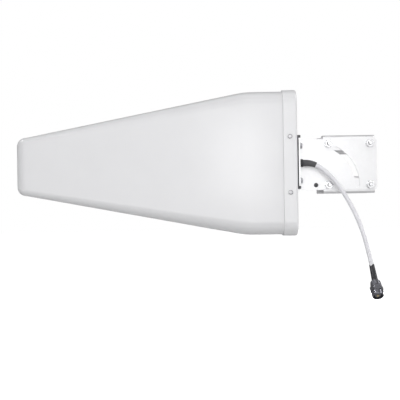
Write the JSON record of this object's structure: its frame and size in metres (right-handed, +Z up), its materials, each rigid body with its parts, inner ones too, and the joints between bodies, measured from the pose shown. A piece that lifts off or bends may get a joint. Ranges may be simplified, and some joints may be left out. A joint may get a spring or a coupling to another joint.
{
  "type": "directional antenna",
  "caption": "Tapered panel antenna with a rear cap, a slotted sheet bracket, a two-jaw mast clamp and a cable with a threaded coaxial jack.",
  "frame": {"origin": "centre of the mast clamp, on the mast's axis and midway between the upper and lower jaws", "axes": "+Z up along the mast, -X the way the antenna points, -Y the side with the clamp's nuts"},
  "size_m": [0.5176, 0.1872, 0.2915],
  "materials": {
    "radome_plastic": "semi-gloss light grey moulding",
    "cap_plastic": "satin light grey moulding",
    "black_rubber": "matt black rubber",
    "stainless_screws": "turned stainless",
    "zinc_sheet": "bright zinc plate on folded sheet",
    "zinc_hardware": "bright zinc plate",
    "flange_hardware": "grey passivated steel",
    "comb_aluminium": "stamped sheet",
    "nylon": "natural nylon",
    "carrier_plastic": "grey moulding",
    "foam": "closed-cell foam",
    "coax_jacket": "brown thin jacket",
    "brass": "turned brass",
    "gland_plastic": "black moulding",
    "cable_jacket": "light grey jacket",
    "sleeve_black": "black heat-shrink sleeve",
    "jack_plating": "dark bright plating",
    "insulator_plastic": "dark grey insulator",
    "gilt_contact": "gilt"
  },
  "bodies": {
    "root": {"radome_shell": "radome_plastic", "rear_cap": "cap_plastic", "cap_seal": "black_rubber", "cap_screws": "stainless_screws", "near_dipole_comb": "comb_aluminium", "far_dipole_comb": "comb_aluminium", "boom_spacers": "nylon", "boom_screws": "stainless_screws", "boom_nuts": "stainless_screws", "boom_carrier": "carrier_plastic", "foam_pads": "foam", "flange_gasket": "black_rubber", "tilt_bracket": "zinc_sheet", "flange_bolts": "flange_hardware", "flange_washers": "flange_hardware", "flange_nuts": "zinc_hardware", "near_jaw_upper": "zinc_sheet", "near_jaw_lower": "zinc_sheet", "far_jaw_upper": "zinc_sheet", "far_jaw_lower": "zinc_sheet", "clamp_bolts": "zinc_hardware", "clamp_washers": "zinc_hardware", "clamp_spring_washers": "zinc_hardware", "clamp_nuts": "zinc_hardware", "cable_gland": "gland_plastic", "gland_nut": "gland_plastic", "gland_boot": "black_rubber", "pigtail_cable": "cable_jacket", "cable_ferrule": "brass", "feed_coax": "coax_jacket", "coax_clips": "nylon", "feed_link": "brass", "jack_boot": "sleeve_black", "jack_body": "jack_plating", "jack_insulator": "insulator_plastic", "jack_contact": "gilt_contact"}
  },
  "joints": []
}
